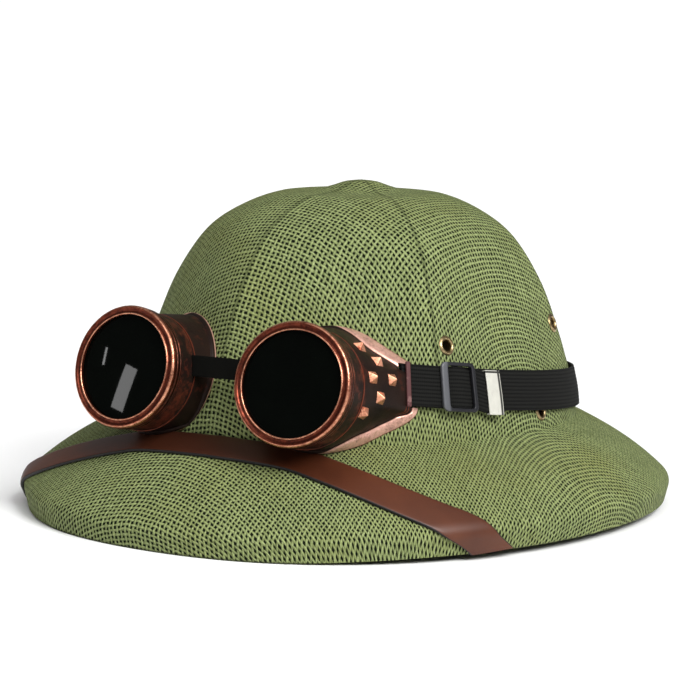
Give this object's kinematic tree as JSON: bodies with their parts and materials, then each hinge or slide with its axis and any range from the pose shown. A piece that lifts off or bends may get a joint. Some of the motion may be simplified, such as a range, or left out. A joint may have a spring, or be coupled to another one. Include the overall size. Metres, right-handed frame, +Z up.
{
  "type": "pith helmet with goggles",
  "caption": "Green woven straw sun helmet with a brown leather band over its front brim and round copper goggles held on the crown by a black elastic strap.",
  "frame": {"origin": "centre of the helmet's bounding box, on the plane of the brim's foot that it rests on", "axes": "+Z up through the crown, -Y towards the helmet's front, +X towards the wearer's left"},
  "size_m": [0.2816, 0.338, 0.1541],
  "materials": {
    "straw": "woven green paper straw, matte",
    "eyelet_brass": "rolled and lightly aged",
    "band_leather": "glossy brown with black painted edges",
    "antique_copper": "copper plated plastic look, aged with dark specks",
    "cup_shell": "near black with copper rubbed edges and studs",
    "lens_glass": "very dark tinted glass, polished",
    "elastic_webbing": "black ribbed elastic",
    "black_plastic": "satin black moulding",
    "clip_chrome": "bright plated sheet"
  },
  "bodies": {
    "root": {"shell": "straw", "eyelet_front_left": "eyelet_brass", "eyelet_rear_left": "eyelet_brass", "eyelet_low_left": "eyelet_brass", "eyelet_front_right": "eyelet_brass", "eyelet_rear_right": "eyelet_brass", "eyelet_low_right": "eyelet_brass", "leather_strap": "band_leather", "goggle_cup_left": "cup_shell", "goggle_cup_right": "cup_shell", "lens_ring_left": "antique_copper", "lens_ring_right": "antique_copper", "lens_left": "lens_glass", "lens_right": "lens_glass", "bridge_strap": "black_plastic", "goggle_strap": "elastic_webbing", "strap_tail": "elastic_webbing", "strap_slider": "black_plastic", "strap_end_clip": "clip_chrome"}
  },
  "joints": []
}
